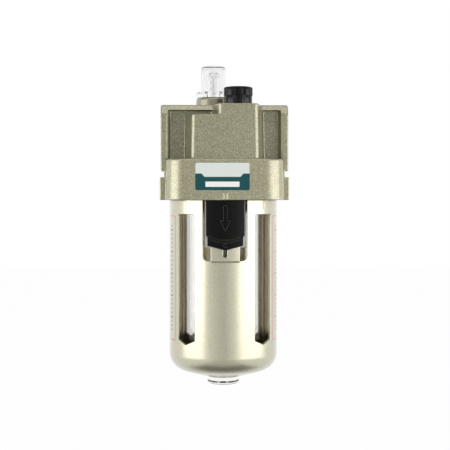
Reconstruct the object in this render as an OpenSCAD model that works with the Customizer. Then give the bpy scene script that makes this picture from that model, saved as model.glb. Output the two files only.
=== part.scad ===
// Air line lubricator with a bayonet bowl.
// Frame: +Z up, air runs along +X (inlet at -X), front at -Y.
// The origin is on the bowl axis at the lowest point of the bowl's boss.
// Heights in the modules are counted from the joint plane, where collar and guard meet.

/* [Body] */
// Distance between the two port faces
port_span = 70; // [68:0.5:76]
// Height of the body's top above the joint plane
body_h = 51.5; // [50:0.5:56]
// Half depth of the end flanges
flange_d = 22; // [20:0.5:24]
// Thickness of the end flanges
flange_t = 5.5; // [5:0.25:6]
// Rounding of the flanges' inner edges
flange_edge = 1.3; // [0.8:0.1:1.8]
// Half depth of the core between the flanges
core_d = 17; // [16:0.5:18.5]
// Thickness of the top plate
plate_t = 2.9; // [2:0.1:3.5]
// Height of the top chamfer
chamfer_h = 5; // [3:0.5:6]
// Depth of the top chamfer
chamfer_d = 3; // [1.5:0.25:3]
// Height of the collar round the bowl
collar_h = 22; // [21.5:0.25:24]
// Collar wall at the sides of its foot, outside the guard
collar_side = 1.65; // [1.4:0.05:2]
// Collar wall at the front and back, outside the guard
collar_front = 5; // [4.5:0.25:6]
// Corner radius of the collar in plan
collar_corner = 10; // [8:0.5:12]
// Rounding of the outer edges along the top
top_edge = 1.1; // [0.5:0.1:1.5]
// Width of each of the two alignment ribs at the foot of the collar
collar_mark_w = 1.1; // [0.8:0.1:1.4]
// Distance between the two ribs
collar_mark_gap = 1.8; // [1.6:0.1:2.4]
// How far the ribs stand out of the collar
collar_mark_out = 0.4; // [0.2:0.1:0.5]
// Length of the ribs
collar_mark_len = 4.2; // [3:0.1:5]
// Rounding of the collar's top edge
collar_edge = 1.2; // [0.6:0.1:1.6]
// Draft angle of the upright sides of collar and block
draft = 1; // [0.5:0.25:1.5]
// Angle at which the recesses beside the block open to the front
recess_angle = 11.5; // [8:0.5:14]

/* [Front block] */
// How far the block's face stands behind the collar's front
block_back = 4; // [2:0.5:6]
// Half width of the block's face at the top of its low half
block_w = 18; // [17.4:0.1:19]
// Height of the low half of the block
block_low_h = 45.6; // [42:0.2:47]
// Where the high half begins, right of the centre plane is positive
block_step_x = -3.9; // [-5:0.1:-3]
// Radius of the block's upright edges
block_edge = 2.6; // [1.5:0.1:3]
// Radius of the fillets at the block's root
block_root = 1.2; // [0.6:0.1:2]

/* [Ports] */
// Height of the port axis above the joint plane
port_h = 34.5; // [34:0.25:36]
// Wall radius of the port's threaded hole
port_r = 9.3; // [8.5:0.1:9.5]
// Depth of the port's threaded hole
port_depth = 15; // [12:0.5:16]
// Radius of the air passage between the ports
passage_r = 8; // [7:0.25:8.2]
// Width of the chamfer at the port's mouth
port_chamfer = 1; // [0.5:0.1:1.5]
// Height of the clamp groove's lower edge on the port faces
groove_h = 12.3; // [10:0.1:13]
// Width of the clamp groove
groove_w = 3.4; // [2.5:0.1:4]
// Depth of the clamp groove
groove_d = 2.2; // [1.5:0.1:2.5]
// Step between the port face above and below the groove
face_step = 0.5; // [0.2:0.1:0.8]

/* [Bowl] */
// Outer radius of the clear bowl
bowl_r = 25.5; // [25:0.25:26]
// Wall of the bowl
bowl_wall = 2.75; // [2.25:0.25:3]
// Outer corner radius at the bowl's bottom
bowl_corner = 9; // [7:0.5:10]
// Gap between the bowl's bottom and the guard's
bowl_floor_gap = 0.8; // [0.3:0.1:1.5]
// Radius of the boss that comes out of the guard
boss_r = 8.8; // [7:0.1:10]
// How far the boss comes out below the guard
boss_out = 4.2; // [3:0.2:6]
// Radius of the boss's flat end
boss_end_r = 4.65; // [3:0.25:6]
// Rise of the end face outside that flat
boss_crown = 0.3; // [0.1:0.1:0.6]
// Rounding of the boss's edge
boss_edge = 1.5; // [1:0.1:2]
// Thickness of the flange that hangs the bowl in the guard
bowl_flange_t = 3; // [2:0.25:3]
// Height of the spigot above that flange
spigot_h = 5.5; // [5:0.25:6]
// How far the spigot stands outside the bowl's wall
spigot_out = 0.4; // [0.2:0.1:0.6]

/* [Bowl guard] */
// Air gap between the bowl and the guard
guard_gap = 3; // [2.5:0.25:3.5]
// Wall of the guard
guard_wall = 1.5; // [1.25:0.05:1.75]
// Depth of the guard's bottom hole below the joint plane
guard_len = 98.6; // [92:0.5:110]
// Outer corner radius at the guard's bottom
guard_corner = 10; // [8:0.5:12]
// Slope of the guard's bottom
guard_slope = 16; // [8:1:20]
// Number of sight slots
slot_count = 4; // [4]
// Width of a sight slot
slot_w = 12.4; // [9:0.2:13]
// Top edge of the sight slots, below the joint plane
slot_top = 7.7; // [7:0.1:14]
// Shoulders of the sight slots, below the joint plane
slot_foot = 76; // [60:0.5:78]
// Depth of the pointed end below the shoulders
slot_point = 2.6; // [1:0.1:4]
// Corner radius at the slot's top
slot_corner = 0.8; // [0.3:0.1:1.5]
// How far the neck steps in from the guard's surface
neck_step = 1.3; // [1:0.1:1.5]
// Height of the neck above the joint plane
neck_h = 10.5; // [10.3:0.1:11]
// Height of a bayonet lug
lug_h = 3.4; // [2.5:0.1:3.4]
// How far a lug stands out of the neck
lug_out = 1.7; // [1.2:0.1:1.8]
// Half angle of a lug
lug_angle = 14; // [10:1:15]
// Width of the guard's alignment marks
mark_w = 1.3; // [1:0.1:2]
// Length of the guard's alignment marks
mark_len = 4.7; // [3:0.1:5]

/* [Lock] */
// Half width of the window in the guard
window_w = 11.85; // [11.6:0.05:12.2]
// Depth of the window below the joint plane
window_len = 32.6; // [32:0.2:36]
// Corner radius of the window
window_corner = 2.7; // [1.5:0.1:3]
// Half width of the tongue
tongue_w = 7.8; // [6:0.1:8]
// Top edge of the tongue, below the joint plane
tongue_top = 12; // [11:0.5:14]
// Thickness of the tongue
tongue_t = 1.4; // [1:0.1:1.4]
// Height of the rounding at the tongue's foot
tongue_edge = 1.1; // [0.6:0.1:1.4]
// Width of the slot in the tongue
tongue_slot_w = 2.2; // [2:0.1:2.6]
// Half width of the button
button_w = 10.3; // [9.5:0.1:10.4]
// Thickness of the button
button_t = 1.6; // [1.4:0.1:1.8]
// Bottom point of the button, below the joint plane
button_len = 26.8; // [26:0.1:27.6]
// How far the button reaches up into the collar
latch_h = 4; // [3:0.1:4.2]
// Half width of the slider behind the button
plate_w = 10.7; // [10.5:0.05:11.2]
// Bottom edge of the slider, below the joint plane
plate_len = 25.3; // [24.5:0.1:26]
// Travel of the lock
lock_travel = 4.5; // [4.2:0.1:4.6]
// Wire radius of the lock spring
spring_wire = 0.25; // [0.2:0.05:0.3]
// Radius of the button's curved grip lines
grip_arc = 20; // [14:1:30]
// Turns of the lock spring
spring_turns = 6; // [4:1:7]

/* [Sight dome] */
// Place of the dome along the air line
dome_x = -5.5; // [-6.5:0.5:-5]
// Radius of the boss that carries the dome
dome_boss_r = 9.65; // [9:0.05:10]
// Height of that boss above the body
dome_boss_h = 5.2; // [4.6:0.2:6]
// Rounding of the boss's top edge
dome_boss_edge = 1.4; // [0.5:0.1:1.6]
// Width of the dome's hex across the flats
hex_af = 17; // [16:0.25:18]
// Height of the hex
hex_h = 3.3; // [2.5:0.1:4]
// Outer radius of the dome
dome_r = 6.75; // [6.5:0.05:7.2]
// Height of the dome above its hex
dome_h = 14; // [12:0.5:17]
// Rounding of the dome's top edge
dome_edge = 0.6; // [0.4:0.1:1.5]
// Height of the dome's crown above that edge
dome_crown = 0.8; // [0.4:0.1:1.2]
// Wall of the dome
dome_wall = 1.3; // [1:0.1:1.5]
// Radius of the dome's neck in the body
dome_neck_r = 6.9; // [6.7:0.05:7.1]
// Radius of the drip umbrella
umbrella_r = 3.15; // [2.5:0.05:4]
// Height of the drip umbrella
umbrella_h = 2.6; // [2:0.1:3.5]
// Height of the umbrella's rim
umbrella_rim = 0.7; // [0.4:0.1:1]
// Radius of the drip tube
drip_r = 1.5; // [1.2:0.05:2]

/* [Filler plug] */
// Place of the plug along the air line
plug_x = 7.5; // [7:0.25:8]
// How far the plug's axis stands behind the block's face
plug_back = 12.5; // [12.25:0.25:13]
// Radius of the plug's grip
plug_r = 7.85; // [7.4:0.05:8]
// Radius of the plug's plain foot
plug_foot_r = 7.6; // [7:0.05:7.8]
// Height of the plug above the body
plug_h = 9.6; // [8:0.2:12]
// Rounding of the plug's top edge
plug_edge = 1.3; // [0.8:0.1:1.8]
// Height of the plain foot
plug_foot_h = 4.7; // [3:0.1:5]
// Number of grip flutes
flute_count = 8; // [5:1:9]
// Radius of a flute
flute_r = 1; // [0.5:0.1:1.2]
// Radius of the plug's screw
plug_screw_r = 6.2; // [6:0.05:6.3]
// Length of the plug's screw
plug_screw_len = 9.5; // [9:0.5:11]

/* [Oil feed] */
// Radius of the damper retainer's plug
retainer_r = 10.9; // [10.5:0.1:10.9]
// Radius of the damper retainer's flange
retainer_flange_r = 15; // [14.7:0.1:15.2]
// Thickness of the damper retainer's flange
retainer_flange_t = 3; // [2.5:0.25:3.5]
// Place of the siphon tube along the air line
siphon_x = -5.5; // [-6:0.25:-5.25]
// Place of the siphon tube behind the axis
siphon_y = 12.5; // [12.25:0.25:12.5]
// Outer radius of the siphon tube
siphon_r = 2.25; // [2:0.05:2.4]
// Bore radius of the siphon tube
siphon_bore = 1.25; // [1:0.05:1.4]
// Radius of the strainer
strainer_r = 4.5; // [4:0.25:5]
// Height of the strainer
strainer_h = 10; // [8:0.5:14]
// Radius of the check ball
ball_r = 1.5; // [1.3:0.05:1.6]
// Thickness of the damper
damper_t = 1.2; // [0.8:0.1:1.6]
// Width of the damper's foot in the retainer
damper_foot_w = 8; // [6:0.5:9]
// Depth of the damper's foot in the retainer
damper_foot_h = 2; // [1.5:0.1:2.5]

/* [Nameplate] */
// Width of the nameplate
name_w = 28.6; // [20:0.2:32]
// Height of the nameplate
name_h = 14.4; // [10:0.2:15]
// Thickness of the nameplate
name_t = 0.3; // [0.2:0.05:0.5]
// Corner radius of the nameplate
name_corner = 0.8; // [0.4:0.1:1.5]
// Place of the nameplate's centre along the air line
name_x = -1.6; // [-3:0.1:3]
// Height of the nameplate's centre
name_z = 12.5; // [11:0.1:13]

/* [Hidden] */
$fn = 64;
cut = 0.2;              // how far a cutter runs past the face it cuts
fit = 0.3;              // clearance round a piece that slides or turns
oring_gap = 0.03;       // clearance of an O-ring in its groove
seat_gap = 0.1;         // clearance under a head that turns

port_half = port_span / 2;
joint_z = guard_len + boss_out;

guard_r = bowl_r + guard_gap + guard_wall;
guard_in = guard_r - guard_wall;
collar_w = guard_r + collar_side;
collar_d = guard_r + collar_front;
block_d = collar_d - block_back;
plug_d = block_d - plug_back;

neck_r = guard_r - neck_step;
neck_in = neck_r - guard_wall;
cup_r = neck_r + fit;
lug_r = neck_r + lug_out;
lug_groove_r = lug_r + fit;
lug_top = neck_h - 0.8;
lug_foot = lug_top - lug_h;
lug_places = [0, 90, 180, 270];
entry_angle = lug_angle + 2;

bowl_in = bowl_r - bowl_wall;
bowl_flange_r = neck_r - 0.9;
spigot_r = bowl_r + spigot_out;
seal_r = spigot_r + fit;
shoulder_z = neck_h + bowl_flange_t;
spigot_z = shoulder_z + spigot_h;
ceiling_z = spigot_z + 1;
bowl_groove_z = shoulder_z + 1.5;
bowl_groove_h = 2.4;
bowl_groove_r = spigot_r - 1.6;
boss_z = -guard_len + guard_wall / cos(guard_slope) + bowl_floor_gap;
bowl_floor_z = boss_z + bowl_wall / cos(guard_slope);

tongue_in = guard_r + fit / 2;
tongue_r = tongue_in + tongue_t;
tongue_foot = window_len + 0.8;
button_in = tongue_r + fit;
button_r = button_in + button_t;
button_foot_w = button_w - 0.8;
button_wide_len = 18.8;
button_side_len = 24.4;
plate_in = guard_in + 0.1;
plate_out = guard_r - fit / 2;
plate_top = -0.3;
rib_w = tongue_slot_w - 2 * fit;
rib_foot = plate_len + 0.5;
rib_top = tongue_top + 6;
spring_mid = (tongue_in + tongue_r) / 2;
spring_r = 1.2;
spring_top = 2;
spring_room = spring_r + spring_wire + fit;

hex_z = body_h + dome_boss_h;
dome_z = hex_z + hex_h;
dome_top = dome_z + dome_h;
dome_in = dome_r - dome_wall;
dome_bore = dome_neck_r + fit;
dome_floor = body_h - 4;
neck_foot = dome_floor + 1.5;
neck_bore = dome_neck_r - 2.3;
dome_groove_z = body_h + 1.5;
dome_groove_h = 2;
dome_groove_r = dome_neck_r - 1.2;
nozzle_z = neck_foot + 1;
umbrella_gap = 1.6;
umbrella_z = dome_top - dome_wall - umbrella_h - umbrella_gap;

plug_bore = plug_screw_r + seat_gap;
plug_hole = 4.4;
plug_screw_z = body_h - plug_screw_len;
plug_groove_h = 1.8;
plug_groove_r = plug_screw_r - 1.3;
plug_groove_z = body_h - plug_groove_h - 0.4;

retainer_bore = retainer_r + 0.1;
retainer_top = port_h - passage_r - 0.1;
retainer_foot = ceiling_z - retainer_flange_t;
retainer_groove_h = 1.8;
retainer_groove_z = (ceiling_z + retainer_top - retainer_groove_h) / 2;
retainer_groove_r = retainer_r - 1.3;
socket_r = siphon_r + 2;
socket_len = 9;
socket_z = retainer_foot - socket_len;
riser_r = 1;
ball_room = ball_r + 0.3;
ball_z = retainer_foot - ball_r - 0.2;
tube_top = retainer_foot - 2 * ball_r - 0.6;
strainer_z = bowl_floor_z + 4;
screw_r = 1.1;
screw_head_r = 2;
screw_place = (retainer_bore + retainer_flange_r) / 2;
screw_len = 4.5;
feed_z = dome_floor + 1.2;

paint = [0.72, 0.70, 0.60];
clear = [0.92, 0.94, 0.95, 0.45];
black = [0.08, 0.08, 0.08];
brass = [0.78, 0.62, 0.32];
seal = [0.10, 0.10, 0.11];

// Points of an arc round c, from angle a0 to angle a1.
function arc(c, r, a0, a1, n = 8) =
    [for (i = [0:n]) let (a = a0 + (a1 - a0) * i / n) c + r * [cos(a), sin(a)]];

// Outline of a rectangle from low to high with round corners.
function round_rect(low, high, r, n = 8) = concat(
    arc([high.x - r, high.y - r], r, 0, 90, n),
    arc([low.x + r, high.y - r], r, 90, 180, n),
    arc([low.x + r, low.y + r], r, 180, 270, n),
    arc([high.x - r, low.y + r], r, 270, 360, n));

// Half outline of a cup's bottom, from the hub out and up to the straight wall.
function cup_arc(r, corner, hub_r, hub_z, n = 10) =
    let (end_r = r - corner * (1 - sin(guard_slope)),
         mid_z = hub_z + (end_r - hub_r) * tan(guard_slope) + corner * cos(guard_slope))
    concat([[hub_r, hub_z]],
        [for (i = [0:n]) let (a = (90 - guard_slope) * (1 - i / n))
            [r - corner + corner * cos(a), mid_z - corner * sin(a)]]);

// Heights are counted from the joint plane.
module at_joint() {
    translate([0, 0, joint_z]) children();
}

// A front view outline carried from depth d0 to depth d1 in front of the axis.
module from_front(d0, d1) {
    translate([0, -d0, 0]) rotate([90, 0, 0]) linear_extrude(d1 - d0) children();
}

// A ring between two radii and two heights.
module ring(r_in, r_out, z0, z1) {
    rotate_extrude() translate([r_in, z0]) square([r_out - r_in, z1 - z0]);
}

// A wedge of the ring, half_angle either side of the place (0 is the front).
module ring_part(r_in, r_out, z0, z1, place, half_angle) {
    rotate([0, 0, place - 90 - half_angle]) rotate_extrude(angle = 2 * half_angle)
        translate([r_in, z0]) square([r_out - r_in, z1 - z0]);
}

// A rubber ring that fills a groove between two radii.
module oring(r_in, r_out, z) {
    rotate_extrude() translate([(r_in + r_out) / 2, z]) circle((r_out - r_in) / 2 - oring_gap);
}

module along_x(x0, x1, r, z) {
    translate([x0, 0, z]) rotate([0, 90, 0]) cylinder(h = x1 - x0, r = r);
}

// A solid whose outline changes evenly from each height to the next.
module stack(heights, outlines) {
    n = len(outlines[0]);
    last = len(heights) - 1;
    walls = [for (k = [0:last - 1]) for (i = [0:n - 1]) let (j = (i + 1) % n)
        [k * n + i, (k + 1) * n + i, (k + 1) * n + j, k * n + j]];
    polyhedron([for (k = [0:last]) for (p = outlines[k]) [p.x, p.y, heights[k]]],
        concat(walls, [[for (i = [0:n - 1]) i]], [[for (i = [n - 1:-1:0]) last * n + i]]));
}

// Outline of the collar, in from its foot by a lean at the sides and by in all round.
function collar_plan(lean, in) =
    round_rect([lean + in - collar_w, in - collar_d], [collar_w - lean - in, collar_d - in],
        collar_corner - in);

module collar() {
    edge_z = collar_h - collar_edge;
    lean = edge_z * tan(draft);
    turns = [0, 30, 60, 90];
    stack(concat([0], [for (a = turns) edge_z + collar_edge * sin(a)]),
        concat([collar_plan(0, 0)],
            [for (a = turns) collar_plan(lean, collar_edge * (1 - cos(a)))]));
}

// Plan of the right flange, with its inner edges round.
module flange_plan() {
    inner = port_half - flange_t;
    edge_y = flange_d - flange_edge;
    edge_x = inner + (edge_y - core_d) * tan(recess_angle) + flange_edge / cos(recess_angle);
    polygon(concat([[inner - 2, -core_d], [inner, -core_d]],
        arc([edge_x, -edge_y], flange_edge, 180 + recess_angle, 270, 5),
        [[port_half, -flange_d], [port_half, flange_d]],
        arc([edge_x, edge_y], flange_edge, 90, 180 - recess_angle, 5),
        [[inner, core_d], [inner - 2, core_d]]));
}

// Flanges, core and top plate, with the long chamfers along the top.
module head() {
    difference() {
        union() {
            for (side = [0, 1]) mirror([side, 0, 0]) linear_extrude(body_h) flange_plan();
            translate([1 - port_half, -core_d, 1]) cube([port_span - 2, 2 * core_d, body_h - 1]);
            translate([-port_half, -flange_d, body_h - plate_t])
                cube([port_span, 2 * flange_d, plate_t]);
        }
        for (side = [0, 1]) mirror([0, side, 0]) rotate([90, 0, 90])
            linear_extrude(port_span + 2, center = true)
                polygon([[-flange_d, body_h - chamfer_h], [chamfer_d - flange_d, body_h],
                    [chamfer_d - flange_d, body_h + 1], [-flange_d - 1, body_h + 1],
                    [-flange_d - 1, body_h - chamfer_h]]);
    }
}

// Left side of the block in plan, from the fillet at its root to its face.
function block_side(left) =
    let (root_x = left - (block_d - core_d) * tan(recess_angle)
            - block_root * (1 - sin(recess_angle)) / cos(recess_angle))
    concat(
        arc([root_x, -core_d - block_root], block_root, 90, recess_angle, 4),
        arc([left + block_edge, block_edge - block_d], block_edge, 180 + recess_angle, 270, 5));

// Plan of the front block with a half width at its face, wider towards its root.
function block_plan(half) =
    let (side = block_side(-half), n = len(side), root_x = side[0].x)
    concat(side, [for (i = [n - 1:-1:0]) [-side[i].x, side[i].y]],
        [[-root_x, 1 - core_d], [root_x, 1 - core_d]]);

// What the block lacks left of its high half, above the low one.
module block_step() {
    side = block_side(block_step_x);
    face_x = side[len(side) - 1].x;
    translate([0, 0, block_low_h]) linear_extrude(body_h) polygon(concat(
        [[side[0].x, 2 - core_d]], side,
        [[face_x, -block_d - 1], [-port_half, -block_d - 1], [-port_half, 2 - core_d]]));
}

module front_block() {
    heights = [1, body_h];
    difference() {
        stack(heights, [for (z = heights) block_plan(block_w + (block_low_h - z) * tan(draft))]);
        block_step();
    }
}

module dome_boss() {
    translate([dome_x, 0, 0]) rotate_extrude() polygon(concat([[0, body_h - 1],
        [dome_boss_r, body_h - 1]],
        arc([dome_boss_r - dome_boss_edge, hex_z - dome_boss_edge], dome_boss_edge, 0, 90, 6),
        [[0, hex_z]]));
}

module air_passage() {
    for (side = [0, 1]) mirror([side, 0, 0]) {
        along_x(port_half - port_depth, port_half + cut, port_r, port_h);
        translate([port_half - face_step, 0, port_h]) rotate([0, -90, 0])
            cylinder(h = port_chamfer, r1 = port_r + port_chamfer, r2 = port_r);
    }
    along_x(-port_half, port_half, passage_r, port_h);
}

// Clamp grooves across the port faces, and the step above them.
module port_faces() {
    for (side = [0, 1]) mirror([side, 0, 0]) {
        translate([port_half - groove_d, -flange_d - 1, groove_h])
            cube([groove_d + 1, 2 * flange_d + 2, groove_w]);
        translate([port_half - face_step, -flange_d - 1, groove_h])
            cube([1 + face_step, 2 * flange_d + 2, body_h]);
    }
}

// The hollow that takes the guard's neck, the bowl's spigot and the lock.
module bowl_seat() {
    translate([0, 0, -cut]) cylinder(h = shoulder_z + cut, r = cup_r);
    cylinder(h = ceiling_z, r = seal_r);
    ring(cup_r - 1, lug_groove_r, lug_foot - fit, lug_top + fit);
    for (place = lug_places)
        ring_part(cup_r - 1, lug_groove_r, -cut, lug_foot, place + 45, entry_angle);
    intersection() {
        ring(button_in - fit, button_r + fit, -cut, latch_h + fit);
        from_front(button_in - 5, button_r + 1)
            translate([-button_w - fit, -cut]) square([2 * (button_w + fit), latch_h + 1]);
    }
}

// Bores for the dome, the needle seat, the plug, the retainer and the oil and air feeds.
module feed_bores() {
    translate([dome_x, 0, dome_floor]) cylinder(h = body_h, r = dome_bore);
    translate([dome_x, 0, port_h]) cylinder(h = dome_floor - port_h, r = 0.8);
    translate([dome_x, 0, dome_floor - 3.5]) cylinder(h = 4, r = 3);
    translate([plug_x, -plug_d, plug_screw_z - 1]) cylinder(h = body_h, r = plug_bore);
    translate([plug_x, -plug_d, ceiling_z - 1]) cylinder(h = body_h - ceiling_z, r = plug_hole);
    translate([0, 0, ceiling_z - 1]) cylinder(h = port_h - ceiling_z, r = retainer_bore);
    for (side = [-1, 1]) translate([side * screw_place, 0, ceiling_z - 1])
        cylinder(h = screw_len + 1, r = screw_r - 0.1);
    translate([siphon_x, siphon_y, ceiling_z - 1]) cylinder(h = feed_z - ceiling_z + 1, r = riser_r);
    translate([dome_x, core_d + 1, feed_z]) rotate([90, 0, 0]) cylinder(h = core_d, r = riser_r);
    translate([dome_x, core_d + 1, feed_z]) rotate([90, 0, 0]) cylinder(h = 4, r = 2);
    translate([-screw_place - 4.6, 0, ceiling_z - 1]) cylinder(h = port_h - ceiling_z, r = 0.8);
}

// The pair of round upright ribs at the foot of the collar.
module collar_marks() {
    for (side = [-1, 1])
        translate([side * collar_mark_gap / 2, collar_mark_w / 2 - collar_mark_out - collar_d, 0])
            cylinder(h = collar_mark_len, r = collar_mark_w / 2);
}

// What is cut off to round the outer edges along the top.
module top_corners() {
    corner = port_half - face_step - top_edge;
    for (side = [0, 1]) mirror([side, 0, 0]) translate([0, flange_d + 1, 0]) rotate([90, 0, 0])
        linear_extrude(2 * flange_d + 2) difference() {
            translate([corner, body_h - top_edge]) square(top_edge + 1);
            translate([corner, body_h - top_edge]) circle(top_edge);
        }
}

module name_outline(gap) {
    polygon(round_rect([name_x - name_w / 2 - gap, name_z - name_h / 2 - gap],
        [name_x + name_w / 2 + gap, name_z + name_h / 2 + gap], name_corner + gap, 5));
}

module body() {
    color(paint) at_joint() difference() {
        union() {
            head();
            collar();
            front_block();
            dome_boss();
            collar_marks();
        }
        bowl_seat();
        air_passage();
        port_faces();
        feed_bores();
        top_corners();
        from_front(collar_d - name_t, collar_d + 1) name_outline(0.1);
    }
}

module nameplate() {
    color([0.86, 0.88, 0.84]) at_joint() from_front(collar_d - name_t, collar_d) name_outline(0);
}

module sight_dome() {
    color(clear) at_joint() translate([dome_x, 0, 0]) difference() {
        union() {
            translate([0, 0, hex_z + seat_gap])
                cylinder(h = hex_h - seat_gap, r = hex_af / 2 / cos(30), $fn = 6);
            rotate_extrude() polygon(concat([[0, neck_foot], [dome_neck_r, neck_foot],
                [dome_neck_r, dome_groove_z], [dome_groove_r, dome_groove_z],
                [dome_groove_r, dome_groove_z + dome_groove_h],
                [dome_neck_r, dome_groove_z + dome_groove_h], [dome_neck_r, hex_z + seat_gap],
                [dome_r, hex_z + 1]],
                arc([dome_r - dome_edge, dome_top - dome_edge], dome_edge, 0, 90, 6),
                [for (k = [3:-1:0]) [(dome_r - dome_edge) * k / 4,
                    dome_top + dome_crown * (1 - k * k / 16)]]));
        }
        translate([0, 0, neck_foot - cut]) cylinder(h = 2, r = neck_bore - 0.8);
        translate([0, 0, nozzle_z]) cylinder(h = dome_z - nozzle_z, r = neck_bore);
        translate([0, 0, dome_z - 1]) cylinder(h = dome_h + 1 - dome_wall, r = dome_in);
    }
}

module drip_nozzle() {
    color(clear) at_joint() translate([dome_x, 0, 0]) difference() {
        union() {
            translate([0, 0, nozzle_z]) cylinder(h = 2, r = neck_bore - 0.1);
            translate([0, 0, nozzle_z]) cylinder(h = umbrella_z + 1 - nozzle_z, r = drip_r);
            rotate_extrude() polygon([[0, umbrella_z + umbrella_rim], [umbrella_r, umbrella_z],
                [umbrella_r, umbrella_z + umbrella_rim],
                [0.7 * umbrella_r, umbrella_z + 0.9 * umbrella_h], [0, umbrella_z + umbrella_h]]);
        }
        translate([0, 0, nozzle_z - cut]) cylinder(h = umbrella_z - nozzle_z, r = 0.6);
    }
}

module dome_oring() {
    color(seal) at_joint() translate([dome_x, 0, 0])
        oring(dome_groove_r, dome_bore, dome_groove_z + dome_groove_h / 2);
}

module metering_needle() {
    color(brass) at_joint() translate([dome_x, 0, 0]) rotate_extrude()
        polygon([[0, dome_floor - 3], [0.75, dome_floor - 1.5], [0.75, nozzle_z - 1.5],
            [2, nozzle_z - 1.5], [2, nozzle_z], [0, nozzle_z]]);
}

module needle_seat() {
    color(brass) at_joint() translate([dome_x, 0, dome_floor - 3.5]) difference() {
        cylinder(h = 3.5, r = 3);
        translate([0, 0, -cut]) cylinder(h = 4, r = 0.8);
    }
}

module filler_plug() {
    color(black) at_joint() translate([plug_x, -plug_d, 0]) difference() {
        rotate_extrude() polygon(concat([[0, plug_screw_z], [plug_screw_r - 0.8, plug_screw_z],
            [plug_screw_r, plug_screw_z + 0.8], [plug_screw_r, plug_groove_z],
            [plug_groove_r, plug_groove_z], [plug_groove_r, plug_groove_z + plug_groove_h],
            [plug_screw_r, plug_groove_z + plug_groove_h], [plug_screw_r, body_h + seat_gap],
            [plug_foot_r, body_h + seat_gap], [plug_foot_r, body_h + plug_foot_h],
            [plug_r, body_h + plug_foot_h + 0.3]],
            arc([plug_r - plug_edge, body_h + plug_h - plug_edge], plug_edge, 0, 90, 5),
            [[0, body_h + plug_h]]));
        for (i = [0:flute_count - 1]) rotate([0, 0, 360 * (i + 0.5) / flute_count])
            translate([plug_r + 0.55 * flute_r, 0, body_h + plug_foot_h])
                cylinder(h = plug_h, r = flute_r);
    }
}

module plug_oring() {
    color(seal) at_joint() translate([plug_x, -plug_d, 0])
        oring(plug_groove_r, plug_bore, plug_groove_z + plug_groove_h / 2);
}

module passage_plug() {
    color(brass) at_joint() translate([dome_x, core_d, feed_z]) rotate([90, 0, 0]) difference() {
        cylinder(h = 3, r = 2);
        translate([0, 0, -cut]) cylinder(h = 1.4, r = 0.9, $fn = 6);
    }
}

module damper() {
    color([0.25, 0.25, 0.27]) at_joint() {
        difference() {
            along_x(-damper_t / 2, damper_t / 2, passage_r - fit, port_h);
            translate([-damper_t, -2, port_h + 3]) cube([2 * damper_t, 4, passage_r]);
        }
        translate([-damper_t / 2, -damper_foot_w / 2, retainer_top - damper_foot_h])
            cube([damper_t, damper_foot_w, 2 * damper_foot_h]);
    }
}

module damper_retainer() {
    color([0.75, 0.76, 0.78]) at_joint() difference() {
        union() {
            rotate_extrude() polygon([[0, retainer_foot], [retainer_flange_r, retainer_foot],
                [retainer_flange_r, ceiling_z], [retainer_r, ceiling_z],
                [retainer_r, retainer_groove_z], [retainer_groove_r, retainer_groove_z],
                [retainer_groove_r, retainer_groove_z + retainer_groove_h],
                [retainer_r, retainer_groove_z + retainer_groove_h], [retainer_r, retainer_top],
                [0, retainer_top]]);
            translate([siphon_x, siphon_y, socket_z]) cylinder(h = socket_len + 1, r = socket_r);
        }
        translate([-damper_t / 2, -damper_foot_w / 2, retainer_top - damper_foot_h])
            cube([damper_t, damper_foot_w, 2 * damper_foot_h]);
        for (side = [-1, 1]) translate([side * screw_place, 0, retainer_foot - cut])
            cylinder(h = retainer_flange_t + 1, r = screw_r);
        translate([siphon_x, siphon_y, 0]) {
            translate([0, 0, socket_z - cut]) cylinder(h = tube_top - socket_z + cut, r = siphon_r);
            translate([0, 0, tube_top - cut]) cylinder(h = 2 * ball_r + 0.6 + cut, r = ball_room);
            translate([0, 0, retainer_foot - cut]) cylinder(h = retainer_flange_t + 1, r = riser_r);
        }
    }
}

module retainer_oring() {
    color(seal) at_joint()
        oring(retainer_groove_r, retainer_bore, retainer_groove_z + retainer_groove_h / 2);
}

module retainer_screws() {
    color([0.8, 0.8, 0.82]) at_joint() for (side = [-1, 1]) translate([side * screw_place, 0, 0])
        difference() {
            rotate_extrude() polygon([[0, retainer_foot - 1.3], [screw_head_r - 0.4, retainer_foot - 1.3],
                [screw_head_r, retainer_foot - 0.9], [screw_head_r, retainer_foot],
                [screw_r - 0.1, retainer_foot], [screw_r - 0.1, ceiling_z + screw_len - 0.2],
                [0, ceiling_z + screw_len - 0.2]]);
            for (turn = [0, 90]) rotate([0, 0, turn]) translate([-1.4, -0.25, retainer_foot - 1.5])
                cube([2.8, 0.5, 0.8]);
        }
}

module check_ball() {
    color([0.8, 0.8, 0.82]) at_joint() translate([siphon_x, siphon_y, tube_top + ball_r + 0.05])
        sphere(ball_r);
}

module siphon_tube() {
    color([0.85, 0.87, 0.86, 0.8]) at_joint() translate([siphon_x, siphon_y, 0]) difference() {
        translate([0, 0, strainer_z + 2]) cylinder(h = tube_top - strainer_z - 2, r = siphon_r);
        translate([0, 0, strainer_z]) cylinder(h = tube_top - strainer_z + 1, r = siphon_bore);
    }
}

module strainer() {
    color([0.72, 0.56, 0.36]) at_joint() translate([siphon_x, siphon_y, strainer_z]) difference() {
        union() {
            cylinder(h = strainer_h - 1, r = strainer_r);
            translate([0, 0, strainer_h - 1 - cut]) cylinder(h = 1 + cut, r1 = strainer_r, r2 = strainer_r - 1);
        }
        translate([0, 0, 2]) cylinder(h = strainer_h, r = siphon_r);
    }
}

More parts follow.
